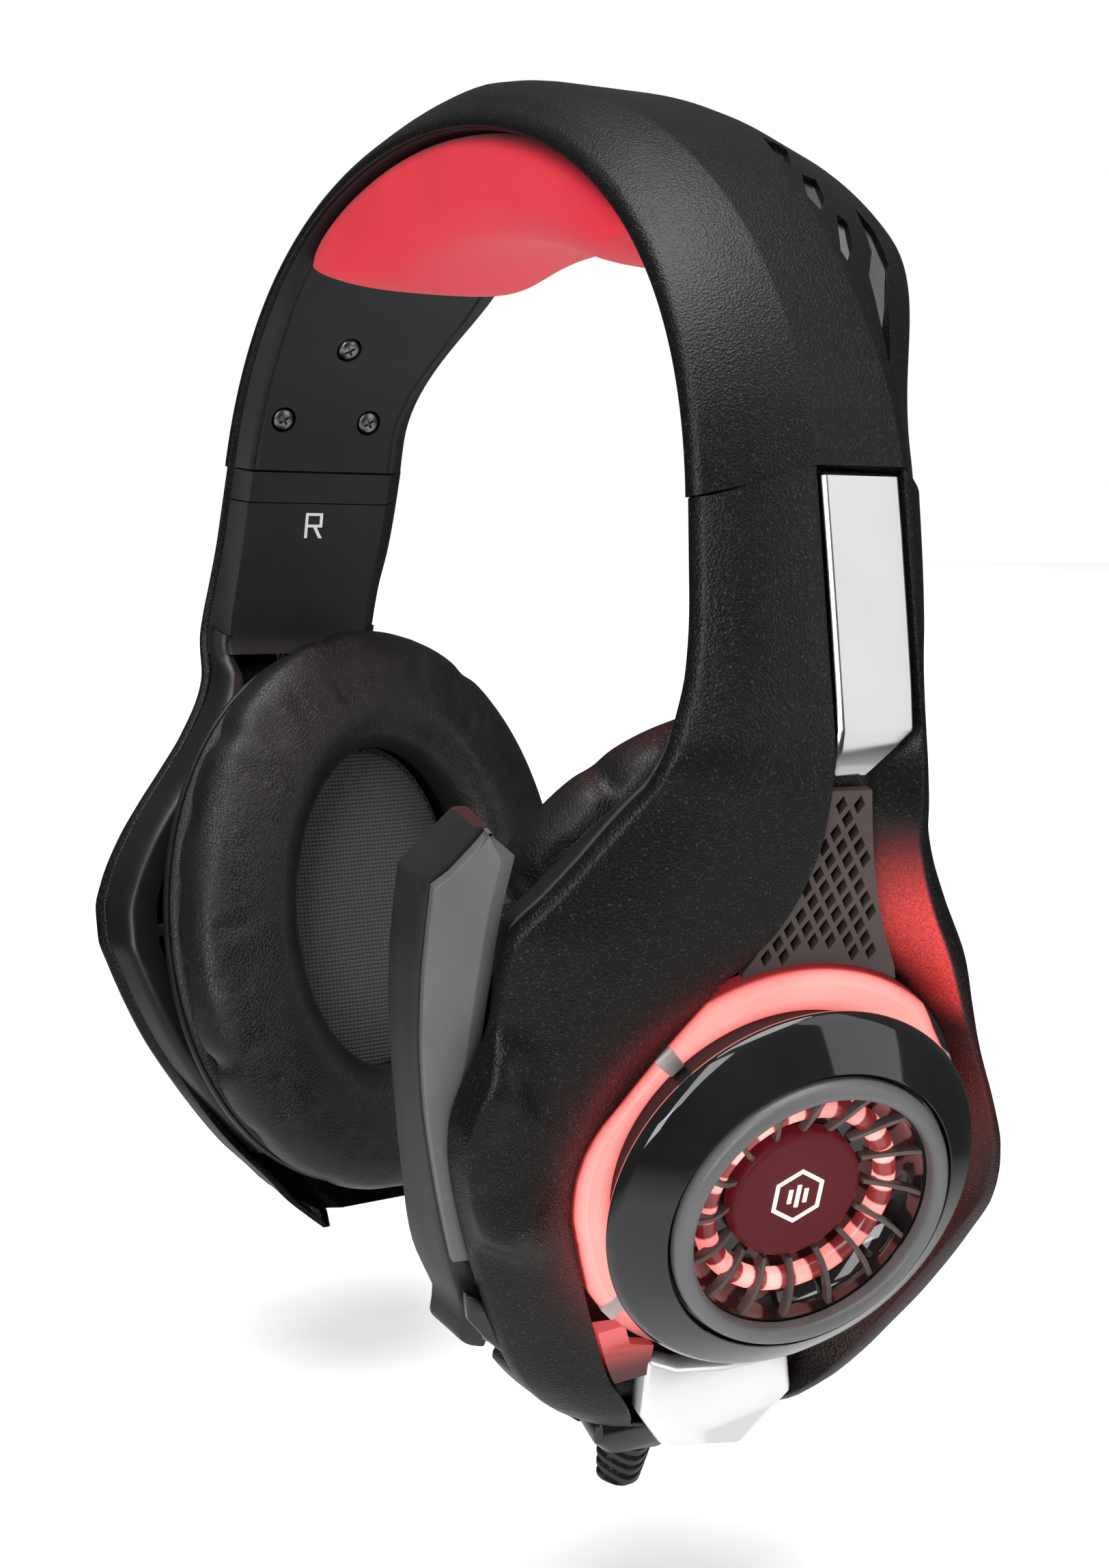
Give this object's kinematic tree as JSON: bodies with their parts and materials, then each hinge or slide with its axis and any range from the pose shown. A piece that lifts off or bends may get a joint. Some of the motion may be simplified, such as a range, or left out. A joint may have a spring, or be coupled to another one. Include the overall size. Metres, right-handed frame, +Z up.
{
  "type": "gaming headset",
  "caption": "Over-ear gaming headset: padded arched headband, sliding arms with swept wings, round glowing hubs, oval cushioned ear cups and a fold-away microphone boom.",
  "frame": {"origin": "lowest point of the crown pad's underside, where the headset rests on the wearer's head", "axes": "+X to the wearer's left, -Y forward (the way the wearer faces), +Z up"},
  "size_m": [0.1986, 0.1033, 0.2258],
  "materials": {
    "black_textured": "fine leather-like moulded grain",
    "black_smooth": "smooth satin",
    "black_gloss": "high gloss",
    "grey_satin": "satin dark grey paint",
    "chrome": "bright plated plastic",
    "steel": "plain zinc-plated steel",
    "red_foam": "smooth matte red cushion cover",
    "leatherette": "soft wrinkled black leatherette",
    "ear_fabric": "fine ribbed grey mesh",
    "light_diffuser": "milky diffuser, lit red",
    "badge": "dark red translucent disc",
    "grille": "matte dark brown-black",
    "circuit": "green solder mask",
    "rubber": "matte moulded rubber"
  },
  "bodies": {
    "headband": {"headband_shell": "black_textured", "headband_inner_cover": "black_smooth", "crown_pad": "red_foam", "slider_guide_left": "black_smooth", "slider_guide_right": "black_smooth", "cover_screw_left_1": "steel", "cover_screw_left_2": "steel", "cover_screw_left_3": "steel", "cover_screw_right_1": "steel", "cover_screw_right_2": "steel", "cover_screw_right_3": "steel"},
    "arm_left": {"arm_shell_left": "black_textured", "arm_inner_cover_left": "black_smooth", "slider_strip_left": "steel", "chrome_strip_left": "chrome", "vent_grille_left": "grille", "light_guide_left": "light_diffuser", "hub_cone_left": "black_gloss", "hub_ring_left": "grey_satin", "turbine_bowl_left": "black_gloss", "turbine_vanes_left": "grey_satin", "light_tube_left": "light_diffuser", "badge_disc_left": "badge", "led_board_left": "circuit", "chin_plate_left": "chrome", "tilt_axle_left": "steel", "mic_pivot_pin": "steel", "mic_hinge_cap": "black_gloss", "cable_housing": "black_gloss", "strain_relief": "rubber"},
    "cup_left": {"cup_housing_left": "black_smooth", "speaker_baffle_left": "black_smooth", "speaker_driver_left": "steel", "ear_cushion_left": "leatherette", "ear_mesh_left": "ear_fabric"},
    "arm_right": {"arm_shell_right": "black_textured", "arm_inner_cover_right": "black_smooth", "slider_strip_right": "steel", "chrome_strip_right": "chrome", "vent_grille_right": "grille", "light_guide_right": "light_diffuser", "hub_cone_right": "black_gloss", "hub_ring_right": "grey_satin", "turbine_bowl_right": "black_gloss", "turbine_vanes_right": "grey_satin", "light_tube_right": "light_diffuser", "badge_disc_right": "badge", "led_board_right": "circuit", "chin_plate_right": "chrome", "tilt_axle_right": "steel"},
    "cup_right": {"cup_housing_right": "black_smooth", "speaker_baffle_right": "black_smooth", "speaker_driver_right": "steel", "ear_cushion_right": "leatherette", "ear_mesh_right": "ear_fabric"},
    "mic_boom": {"boom_inner_shell": "black_smooth", "boom_outer_plate": "grey_satin", "mic_capsule": "steel"}
  },
  "joints": [
    {"name": "slider_left", "type": "slide", "parent": "headband", "child": "arm_left", "axis": [0.2079, 0, -0.9781], "range_m": [0, 0.018]},
    {"name": "slider_right", "type": "slide", "parent": "headband", "child": "arm_right", "axis": [-0.2079, 0, -0.9781], "range_m": [0, 0.018]},
    {"name": "cup_tilt_left", "type": "hinge", "parent": "arm_left", "child": "cup_left", "pos_m": [0.06945, -0.00712, -0.1281], "axis": [0.1006, 0.9949, 0], "range_deg": [-3, 3]},
    {"name": "cup_tilt_right", "type": "hinge", "parent": "arm_right", "child": "cup_right", "pos_m": [-0.06945, -0.00712, -0.1281], "axis": [0.1006, -0.9949, 0], "range_deg": [-3, 3]},
    {"name": "mic_swing", "type": "hinge", "parent": "arm_left", "child": "mic_boom", "pos_m": [0.05789, -0.04063, -0.1632], "axis": [0.9591, -0.097, -0.266], "range_deg": [0, 110]}
  ]
}
